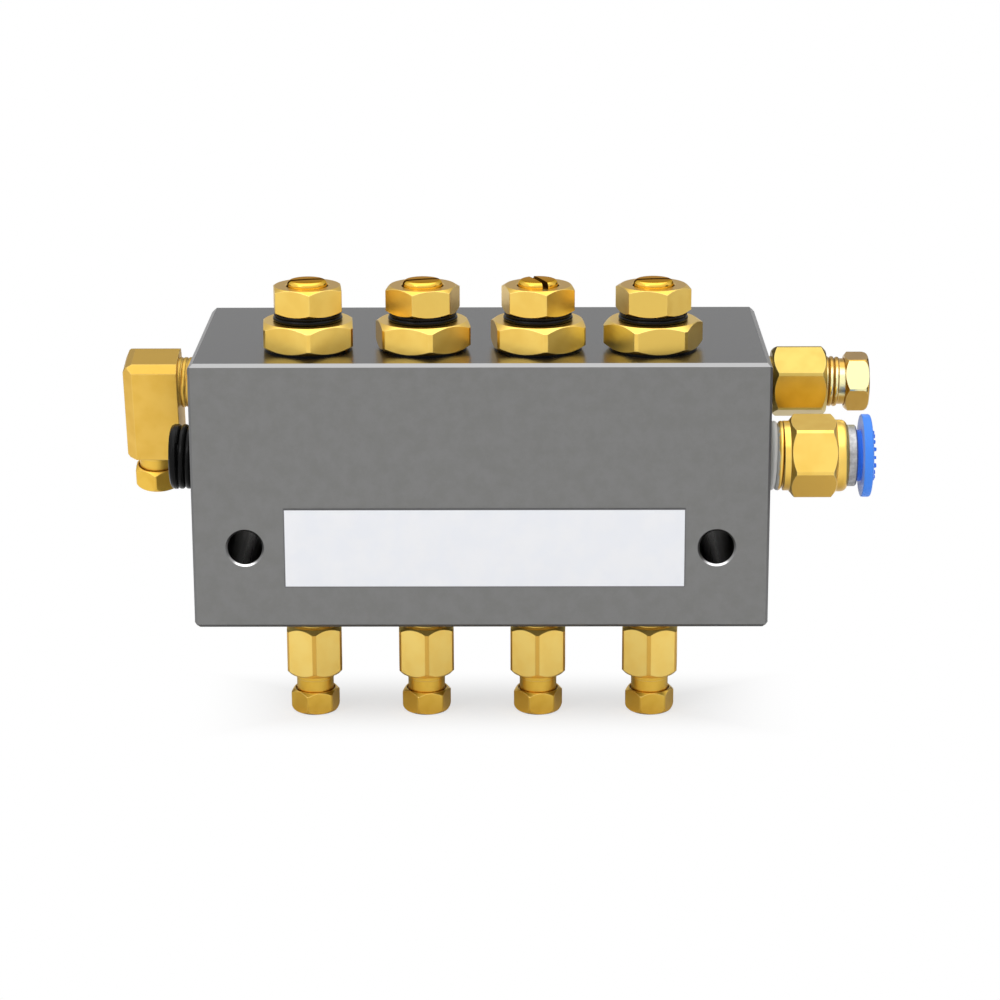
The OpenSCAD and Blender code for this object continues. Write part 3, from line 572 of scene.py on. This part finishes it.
# A painted glow on the faces that look back towards the block.
blue = collar.mix(inner_face * 0.55, blue, INNER_FACE_GLOW)
collar.wear(base_color=collar.mix(wax * 0.1, blue, WAXY_BLUE), ior=1.25,
            roughness=0.38 + (wax - 0.5) * 0.08,
            normal=collar.bumps(wax, 0.01, collar.soft_edges(0.15)))
dress(collar.material, "release_collar")
print("plain finishes done,", len(bpy.data.materials), "materials")

# %% [markdown]
# A thread is a ridge that climbs round a cylinder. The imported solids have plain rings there,
# which are right in outline but don't climb. Here a spiral curve carries a rounded ridge
# round the neck, which is how a screw-cutting tool moves over the bar. The ridge is as wide
# as the pitch, so neighbouring turns meet in a sharp valley, and it fades out at both ends.

# %% Thread tree in Geometry Nodes
TURN_STEPS, RIDGE_SIDES, THINNEST = 48, 14, 0.02
RUN_IN, RUN_OUT = (0.0, 0.1), (0.9, 1.0)


def close_tree(tree, plan, shape, finish):
    """Makes instances real, gives them their finish and sends them out of the tree."""
    whole = plan.node("GeometryNodeRealizeInstances", {}, {"Geometry": shape})
    dressed = plan.node("GeometryNodeSetMaterial", {}, {"Geometry": whole, "Material": finish})
    plan.feed(tree.nodes.new("NodeGroupOutput").inputs[0], dressed)
    return tree


def thread_tree():
    tree, plan, (radius, pitch, turns, depth, finish) = empty_tree("thread", (
        ("Radius", "Float"), ("Pitch", "Float"), ("Turns", "Float"), ("Depth", "Float"),
        ("Finish", "Material")), "Thread")
    spiral = plan.node("GeometryNodeCurveSpiral", {}, {
        "Resolution": TURN_STEPS, "Rotations": turns, "Start Radius": radius,
        "End Radius": radius, "Height": pitch * turns})
    upright = plan.node("GeometryNodeSetCurveNormal", {"mode": "Z_UP"}, {"Curve": spiral})
    along = plan.node("GeometryNodeSplineParameter", give="Factor")
    full_between = along.step(*RUN_IN) * (1 - along.step(*RUN_OUT))
    tapered = plan.node("GeometryNodeSetCurveRadius", {}, {
        "Curve": upright, "Radius": full_between + THINNEST})
    circle = plan.node("GeometryNodeCurvePrimitiveCircle", {"mode": "RADIUS"}, {
        "Resolution": RIDGE_SIDES, "Radius": 1.0})
    ridge_size = plan.node("ShaderNodeCombineXYZ", {}, {"X": depth, "Y": pitch * 0.5, "Z": 1.0})
    ridge = plan.node("GeometryNodeTransform", {}, {"Geometry": circle, "Scale": ridge_size})
    swept = plan.node("GeometryNodeCurveToMesh", {}, {
        "Curve": tapered, "Profile Curve": ridge, "Fill Caps": True})
    return close_tree(tree, plan, swept, finish)


def grow(name, tree, values, place):
    """Runs a tree once and gives what it makes as a plain mesh, set in its place."""
    grower = bpy.data.objects.new(name, bpy.data.meshes.new(name + "_seed"))
    bpy.context.scene.collection.objects.link(grower)
    modifier = grower.modifiers.new("tree", "NODES")
    modifier.node_group = tree
    for item in tree.interface.items_tree:
        if item.in_out == "INPUT":
            modifier[item.identifier] = values[item.name]
    now = bpy.context.evaluated_depsgraph_get()
    mesh = bpy.data.meshes.new_from_object(grower.evaluated_get(now))
    bpy.data.objects.remove(grower)
    mesh.transform(place)
    return mesh


thread = thread_tree()
print("thread tree has", len(thread.nodes), "nodes")

# %% [markdown]
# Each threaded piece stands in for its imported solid: a welded copy whose rings are pressed
# down to the root of the thread, with the climbing ridge wound over them. Working on a copy
# keeps every bore, flat and bevel of the solid exactly as it was designed.

# %% Threads cut on the fittings
TO_THE_RIGHT = Matrix.Rotation(math.radians(90), 4, "Y")
TO_THE_LEFT = Matrix.Rotation(math.radians(-90), 4, "Y")
DOWNWARDS = Matrix.Rotation(math.radians(180), 4, "X")
GALLERY_PLUG, BLOCK_BOTTOM, PIPE_PITCH = (-55, STATION_Y, 14.5), -16, 1.337


def stand_in(mesh, node, body):
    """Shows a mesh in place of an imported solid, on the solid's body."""
    shaded = bmesh.new()
    shaded.from_mesh(mesh)
    for face in shaded.faces:
        face.smooth = True
    for edge in shaded.edges:
        edge.smooth = edge.calc_face_angle(math.pi) < math.radians(SOFT_CORNER)
    shaded.to_mesh(mesh)
    if "custom_normal" in mesh.attributes:
        mesh.attributes.remove(mesh.attributes["custom_normal"])
    piece = bpy.data.objects.new(mesh.name, mesh)
    bpy.context.scene.collection.objects.link(piece)
    keep_flats_flat(piece)
    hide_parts(node)
    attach(piece, body)


def cut_thread(node, at, turned, rings, radii, ridge, pitch=1):
    """Winds a ridge round a solid, once its plain rings are pressed down to the root.

    Rings and ridge are (from, to) levels along the axis; radii are (root, crest), all in mm.
    """
    place = Matrix.Translation(Vector(at) * MM) @ turned
    to_axis = place.inverted()
    root, crest = (r * MM for r in radii)
    copy = bmesh.new()
    copy.from_mesh(nodes[node].data)
    bmesh.ops.remove_doubles(copy, verts=copy.verts, dist=WELD)
    for corner_point in copy.verts:
        spot = to_axis @ corner_point.co
        out = math.hypot(spot.x, spot.y)
        if rings[0] * MM < spot.z < rings[1] * MM and root < out < crest + WELD:
            corner_point.co = place @ Vector((spot.x * root / out, spot.y * root / out, spot.z))
    finish = nodes[node].data.materials[0]
    wound = grow(node + "_ridge", thread, {
        "Radius": root, "Pitch": pitch * MM, "Turns": (ridge[1] - ridge[0]) / pitch,
        "Depth": crest - root, "Finish": finish},
        place @ Matrix.Translation((0, 0, ridge[0] * MM)))
    copy.from_mesh(wound)
    mesh = bpy.data.meshes.new(node + "_threaded")
    copy.to_mesh(mesh)
    mesh.materials.append(finish)
    widest = max(math.hypot(*(to_axis @ v.co).xy) for v in wound.vertices) / MM
    print(mesh.name, len(mesh.polygons), "faces, thread radius", round(widest, 2))
    stand_in(mesh, node, "block")


for number, x in zip(STATIONS, STATION_X):
    cut_thread(f"outlet_body_{number}", (x, STATION_Y, BLOCK_BOTTOM), DOWNWARDS,
               rings=(0.05, 3.1), radii=(3.65, 4), ridge=(-0.4, 3.4))
cut_thread("oil_inlet_body", OIL_INLET, TO_THE_RIGHT,
           rings=(0.05, 2.1), radii=(4.65, 5), ridge=(-0.4, 2.5))
cut_thread("oil_inlet_bushing", OIL_INLET, TO_THE_RIGHT,
           rings=(13.05, 15.02), radii=(4.55, 5), ridge=(12.7, 15.2))
cut_thread("air_inlet_body", AIR_INLET, TO_THE_RIGHT,
           rings=(0.05, 2.8), radii=(5.98, 6.75), ridge=(-0.5, 3.3), pitch=PIPE_PITCH)
cut_thread("elbow_body", ELBOW_AT, TO_THE_RIGHT,
           rings=(5.45, 10.55), radii=(4.65, 5), ridge=(5.2, 10.9))
cut_thread("gallery_plug", GALLERY_PLUG, TO_THE_LEFT,
           rings=(0.6, 3.25), radii=(5.7, 6.3), ridge=(-0.4, 3.8), pitch=PIPE_PITCH)

# %% [markdown]
# The release collar is the piece a hand touches, so it gets its own mesh. A closed outline
# is turned round the axis, as the mould was. Its outer face lies a little lower than the
# solid's, which leaves room for the raised teeth that give a fingertip some grip.

# %% Turned release collar
TURNING_STEPS = 96
collar_outline = [
    (4.1, 10.55), (4.43, 10.55), (4.93, 11.35), (4.93, 18.2), (5.0, 18.28), (5.1, 18.3),
    (7.7, 18.3), (7.88, 18.35), (7.97, 18.45), (8, 18.6), (8, 19.7), (7.95, 19.88),
    (7.82, 20.02), (7.6, 20.1), (6.4, 20.3), (4.8, 20.34), (4.35, 20.26), (4.1, 20.0)]


def turned_mesh(name, outline, place):
    """A solid made by turning a closed outline of (radius, height) points, in mm."""
    corners, faces = [], []
    count = len(outline)
    for step in range(TURNING_STEPS):
        angle = 2 * math.pi * step / TURNING_STEPS
        here, there = step * count, (step + 1) % TURNING_STEPS * count
        corners += [place @ Vector((r * math.cos(angle), r * math.sin(angle), z)) * MM
                    for r, z in outline]
        faces += [(here + i, there + i, there + (i + 1) % count, here + (i + 1) % count)
                  for i in range(count)]
    mesh = bpy.data.meshes.new(name)
    mesh.from_pydata(corners, [], faces)
    turned = bmesh.new()
    turned.from_mesh(mesh)
    bmesh.ops.remove_doubles(turned, verts=turned.verts, dist=WELD)
    bmesh.ops.delete(turned, geom=[e for e in turned.edges if e.is_wire], context="EDGES")
    bmesh.ops.recalc_face_normals(turned, faces=turned.faces)
    turned.to_mesh(mesh)
    return mesh


collar_mesh = turned_mesh("release_collar_turned", collar_outline,
                          Matrix.Translation(AIR_INLET) @ TO_THE_RIGHT)
collar_mesh.materials.append(collar.material)
stand_in(collar_mesh, "release_collar", "collar")
print(collar_mesh.name, len(collar_mesh.polygons), "faces")

# %% [markdown]
# The slots of the needle screws are painted dark, as painted shade inside them, while their
# crowns are kept bright by the screwdriver and by wiping. The flat top is painted a deeper
# gold than the rolled edge, as painted shade, and the gaps take painted shade too. The
# shader knows the slot by its place, so each screw's finish is turned as its slot is.

# %% Finish of the needle screws
BLOCK_TOP = 36
SLOT_TURNS, SLOT_WIDTH, SLOT_FLOOR = (14, 15, -68, 6), 1.1, 12.1
SLOT_EDGE, FLOOR_FADE = (SLOT_WIDTH / 2 + 0.03, SLOT_WIDTH / 2 + 0.07), (0.1, 0.2)
CROWN_BRASS = (screen(240, 196, 84), screen(232, 186, 72))
# The top tone and the slot tone are painted shade.
CROWN_TOP_SHADE, SLOT_SHADE = screen(200, 146, 40), screen(96, 62, 20)
GRAZING_TINT = screen(255, 224, 168)


def screw_finish(number, x, turn):
    """Polished brass, with painted shade in the slot, on the flat top and in gaps."""
    polished = Finish(f"screw_brass_{number}", (x, STATION_Y, BLOCK_TOP), (0, 0, turn))
    patches = polished.noise(polished.spot, scale=0.4)
    from_slot = polished.part(polished.spot, "Y").size()
    under_floor = SLOT_FLOOR - polished.part(polished.spot, "Z")
    off_the_slot = from_slot.step(*SLOT_EDGE).larger(under_floor.step(*FLOOR_FADE))
    bare = polished.mix(patches.step(*BLOTCHY), *CROWN_BRASS)
    # Painted shade on the flat top.
    bare = polished.mix(polished.facing(Z_AXIS).step(*SQUARE_ON), bare, CROWN_TOP_SHADE)
    # Painted shade in gaps.
    bare = polished.mix(polished.crevices(0.6), bare, GAP_SHADE)
    # Painted shade in the slot.
    return polished.wear(
        base_color=polished.mix(off_the_slot, SLOT_SHADE, bare), metallic=1.0,
        specular_tint=GRAZING_TINT, normal=polished.soft_edges(0.1),
        roughness=0.24 + (patches - 0.5) * 0.06 + (1 - off_the_slot) * 0.3)


for number, x, turn in zip(STATIONS, STATION_X, SLOT_TURNS):
    dress(screw_finish(number, x, turn), f"needle_screw_{number}")
print("slots turned by", SLOT_TURNS, "degrees")

# %% [markdown]
# Each needle screw ends in a low crown: nearly flat on top, with an edge that the lathe has
# rolled over, and a slot for the screwdriver. It is turned from an outline like the collar.
# The slot is then sawn out with a Boolean, at the angle where the fitter left that screw.

# %% Crowns of the needle screws
CROWN_TOP, FLAT_R, SAG, FLAT_STEPS = 13.4, 3.0, 0.06, 8
ROLL_AT, ROLL_R, ROLL_ANGLES = (2.98, 12.54), 0.8, range(80, -2, -9)
SAW_REACH, SAW_TOP = 5, 16


def arc(centre, radius, angles):
    """Points on part of a circle, at angles in degrees, where 0 points outwards."""
    return [(centre[0] + radius * math.cos(math.radians(a)),
             centre[1] + radius * math.sin(math.radians(a))) for a in angles]


flat = [(FLAT_R * i / FLAT_STEPS, CROWN_TOP - SAG * (i / FLAT_STEPS) ** 2)
        for i in range(FLAT_STEPS + 1)]
screw_outline = flat + arc(ROLL_AT, ROLL_R, ROLL_ANGLES) + [
    (3.76, 11.6), (3.95, 11.35), (3.95, -4), (3.15, -4), (3.15, -6.4), (2.3, -6.4), (2.3, -7.7),
    (3.15, -7.7), (3.15, -9.5), (1.6, -9.5), (1.6, -11.7), (0.35, -14.2), (0, -14.2)]


def saw_mesh(name, place):
    """The blade that leaves the slot: a bar that lies across the top of the screw."""
    corners = [place @ (Vector((x, y, z)) * MM) for x in (-SAW_REACH, SAW_REACH)
               for y in (-SLOT_WIDTH / 2, SLOT_WIDTH / 2) for z in (SLOT_FLOOR, SAW_TOP)]
    faces = [(0, 1, 3, 2), (4, 6, 7, 5), (0, 4, 5, 1), (2, 3, 7, 6), (0, 2, 6, 4), (1, 5, 7, 3)]
    mesh = bpy.data.meshes.new(name)
    mesh.from_pydata(corners, [], faces)
    return mesh


def sawn(name, solid_mesh, blade_mesh):
    """What is left of a solid when another one is taken out of it, as a plain mesh."""
    solid, blade = (bpy.data.objects.new(m.name, m) for m in (solid_mesh, blade_mesh))
    for thing in (solid, blade):
        bpy.context.scene.collection.objects.link(thing)
    cut = solid.modifiers.new("slot", "BOOLEAN")
    cut.operation, cut.solver, cut.object = "DIFFERENCE", "EXACT", blade
    now = bpy.context.evaluated_depsgraph_get()
    mesh = bpy.data.meshes.new_from_object(solid.evaluated_get(now))
    mesh.name = name
    for thing in (solid, blade):
        bpy.data.objects.remove(thing)
    return mesh


for number, x, turn in zip(STATIONS, STATION_X, SLOT_TURNS):
    name = f"needle_screw_{number}"
    seat = Vector((x, STATION_Y, BLOCK_TOP))
    whole_screw = turned_mesh(name + "_turned", screw_outline, Matrix.Translation(seat))
    blade = saw_mesh(name + "_saw", Matrix.Translation(seat * MM) @ Matrix.Rotation(
        math.radians(turn), 4, "Z"))
    screw = sawn(name + "_crowned", whole_screw, blade)
    screw.materials.clear()
    screw.materials.append(nodes[name].data.materials[0])
    stand_in(screw, name, f"needle_{number}")
    print(screw.name, len(screw.polygons), "faces")

# %% [markdown]
# The round seal under each lock nut has two lobes: a thick one that lies on the valve body,
# and a thinner one above it that the nut presses on. Its outline is two arcs that meet in
# a narrow groove, and it is turned in the same way.

# %% Two-lobed seals
LOBE_STEP = 15
thick_lobe = arc((6.2, 6.05), 0.45, range(-90, 75 + 1, LOBE_STEP))
thin_lobe = arc((6.22, 6.82), 0.28, range(-60, 90 + 1, LOBE_STEP))
seal_outline = thick_lobe + thin_lobe + [(5.3, 7.1), (5.15, 6.95), (5.15, 5.75), (5.3, 5.6)]
for number, x in zip(STATIONS, STATION_X):
    seal = turned_mesh(f"lock_seal_{number}_lobed", seal_outline,
                       Matrix.Translation((x, STATION_Y, BLOCK_TOP)))
    seal.materials.append(rubber)
    stand_in(seal, f"lock_seal_{number}", "block")
print("seal outline has", len(seal_outline), "points")

# %% [markdown]
# The teeth repeat round a circle. One tooth, a short wedge with sloping sides so that it
# leaves its mould, is placed on each point of a curve and turned to face outwards. Its size
# changes a little from tooth to tooth, because the real ones are worn and uneven.

# %% Grip teeth
TEETH, TEETH_SEED, TEETH_R, TEETH_LEVEL, TOOTH_TIP = 18, 4, 4.5, 20.38, 0.95
SMALLEST_TOOTH, LARGEST_TOOTH = (0.4, 0.25, 0.4), (0.55, 0.4, 0.55)


def teeth_tree():
    tree, plan, (ring_radius, count, smallest, largest, seed, finish) = empty_tree(
        "teeth_round_a_circle", (
            ("Ring radius", "Float"), ("Count", "Int"), ("Smallest tooth", "Vector"),
            ("Largest tooth", "Vector"), ("Seed", "Int"), ("Finish", "Material")), "Teeth")
    circle = plan.node("GeometryNodeCurvePrimitiveCircle", {"mode": "RADIUS"}, {
        "Resolution": count, "Radius": ring_radius})
    outwards = plan.node("FunctionNodeAlignRotationToVector", {"axis": "X"}, {
        "Vector": plan.node("GeometryNodeInputPosition")})
    wedge = plan.node("GeometryNodeMeshCone", {}, {
        "Vertices": 4, "Radius Top": TOOTH_TIP, "Radius Bottom": math.sqrt(2), "Depth": 1.0})
    squared = plan.node("GeometryNodeTransform", {}, {
        "Geometry": wedge, "Rotation": (0, 0, math.radians(45))})
    size = plan.node("FunctionNodeRandomValue", {"data_type": "FLOAT_VECTOR"}, {
        0: smallest, 1: largest, "Seed": seed})
    placed = plan.node("GeometryNodeInstanceOnPoints", {}, {
        "Points": circle, "Instance": squared, "Rotation": outwards, "Scale": size})
    return close_tree(tree, plan, placed, finish)


on_the_rim = Matrix.Translation(Vector(AIR_INLET) * MM) @ TO_THE_RIGHT @ Matrix.Translation(
    (0, 0, TEETH_LEVEL * MM))
teeth_mesh = grow("collar_teeth", teeth_tree(), {
    "Ring radius": TEETH_R * MM, "Count": TEETH, "Seed": TEETH_SEED,
    "Smallest tooth": tuple(s * MM for s in SMALLEST_TOOTH),
    "Largest tooth": tuple(s * MM for s in LARGEST_TOOTH), "Finish": collar.material}, on_the_rim)
teeth = bpy.data.objects.new("collar_teeth", teeth_mesh)
bpy.context.scene.collection.objects.link(teeth)
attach(teeth, "collar")
teeth_end = max(v.co.x for v in teeth_mesh.vertices)
print("teeth end at x", round(teeth_end / MM, 2), "of", round(cad_high.x / MM, 2))

# %% [markdown]
# The studio is a pale floor, a white surround and soft lights. Close to the object the
# floor keeps its soft shadow, and further out it fades to pure white, as in the photograph.
# What the camera sees of the floor is part glow, so that it stays pale. The studio is laid
# out in metres, but the fade is a pattern, so its limits are in millimetres.

# %% Pale floor
FLOOR_HALF, FLOOR_TONE = 6.0, screen(244, 244, 245)
SHADOW_MID_X, SHADOW_MID_Y = 3, -34
FADE_X, FADE_Y = (28, 62), (0, 21)
WHITE, NEAR_GLOW, ADDED_GLOW = (1, 1, 1, 1), 0.66, 0.34
floor_z = cad_low.z


def flat_card(name, corners, finish, only_mirrored):
    """A rectangle of the studio, which can be left out of all but reflections."""
    mesh = bpy.data.meshes.new(name)
    mesh.from_pydata(corners, [], [(0, 1, 2, 3)])
    card = bpy.data.objects.new(name, mesh)
    card.data.materials.append(finish.material)
    if only_mirrored:
        card.visible_camera = card.visible_diffuse = card.visible_shadow = False
    bpy.context.scene.collection.objects.link(card)
    card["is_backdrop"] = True


pale = Finish("pale_floor")
pale.wear(base_color=FLOOR_TONE, roughness=0.9)
glow = pale.node("ShaderNodeEmission", {}, {"Color": WHITE, "Strength": 1.0})
in_view = pale.node("ShaderNodeLightPath", give="Is Camera Ray")
x, y = pale.part(pale.spot, "X"), pale.part(pale.spot, "Y")
far_out = (y - SHADOW_MID_Y).size().step(*FADE_Y).larger((x - SHADOW_MID_X).size().step(*FADE_X))
share = in_view * (NEAR_GLOW + far_out * ADDED_GLOW)
both = pale.node("ShaderNodeMixShader", {}, {
    0: share, 1: Wire(pale, pale.shader.outputs[0]), 2: glow})
pale.feed(pale.tree.nodes["Material Output"].inputs["Surface"], both)
flat_card("floor", [(sx * FLOOR_HALF, sy * FLOOR_HALF, floor_z)
                    for sx, sy in ((-1, -1), (1, -1), (1, 1), (-1, 1))], pale, False)
print("floor at", round(floor_z / MM, 2), "mm")

# %% [markdown]
# Metal shows what stands around it, so brown cards stand at the sides, where only
# reflections can see them. They give the brass its darker flats, as they do in a
# photographer's studio.

# %% Brown cards
CARD_TONE = screen(60, 50, 36)
CARDS = (("right_card", 0.2, -0.1, -0.03, 0.13), ("far_right_card", 0.2, 0.08, 0.35, 0.13),
         ("left_card", -0.24, 0.0, 0.3, 0.1))

brown = Finish("brown_card")
brown.wear(base_color=CARD_TONE, roughness=0.9)
for name, x, near, far, high in CARDS:
    flat_card(name, [(x, near, floor_z), (x, far, floor_z), (x, far, floor_z + high),
                     (x, near, floor_z + high)], brown, True)
print("cards", len(CARDS))

# %% [markdown]
# A wide light overhead gives the soft shadow, and a small one at the front left gives the
# brass a few glints. The surround is white to the eye. Mirrored, it is darker behind the
# object than in front of it, which gives the metal its shading, and as a source of soft
# light it is dimmer still.

# %% Lights
SOFT_LEVEL, FRONT_LEVEL, BACK_DROP = 0.55, 1.05, 0.5
BACK_STARTS, BACK_FULL = 0.1, 0.9


def soft_light(name, at, width, watts):
    data = bpy.data.lights.new(name, "AREA")
    data.shape, data.size, data.energy = "SQUARE", width, watts
    lamp = bpy.data.objects.new(name, data)
    lamp.location = at
    lamp.rotation_euler = (-Vector(at)).to_track_quat("-Z", "Y").to_euler()
    bpy.context.scene.collection.objects.link(lamp)


soft_light("overhead", (0, -0.1, 1.1), width=1.8, watts=10.0)
soft_light("front_left", (-0.7, -0.75, 0.7), width=0.4, watts=1.6)
world = bpy.data.worlds.new("white_surround")
world.use_nodes = True
bpy.context.scene.world = world
surround = Graph(world.node_tree)
background = world.node_tree.nodes["Background"]
in_view = surround.node("ShaderNodeLightPath", give="Is Camera Ray")
mirrored = surround.node("ShaderNodeLightPath", give="Is Glossy Ray")
heading = surround.node("ShaderNodeTexCoord", give="Generated")
depth = surround.node("ShaderNodeSeparateXYZ", {}, {"Vector": heading}, give="Y")
behind = depth.step(BACK_STARTS, BACK_FULL)
surround.feed(background.inputs["Color"], WHITE)
surround.feed(background.inputs["Strength"],
              in_view + mirrored * (FRONT_LEVEL - behind * BACK_DROP)
              + (1 - in_view - mirrored) * SOFT_LEVEL)
bpy.context.scene.view_settings.view_transform = "Standard"
print("lights", len(bpy.data.lights))

# %% [markdown]
# Last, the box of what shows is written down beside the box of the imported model, since the
# finishes and the finer forms must not make the object larger.

# %% Finish
low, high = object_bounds()
print("visual box in mm", [round(s / MM, 2) for s in high - low])
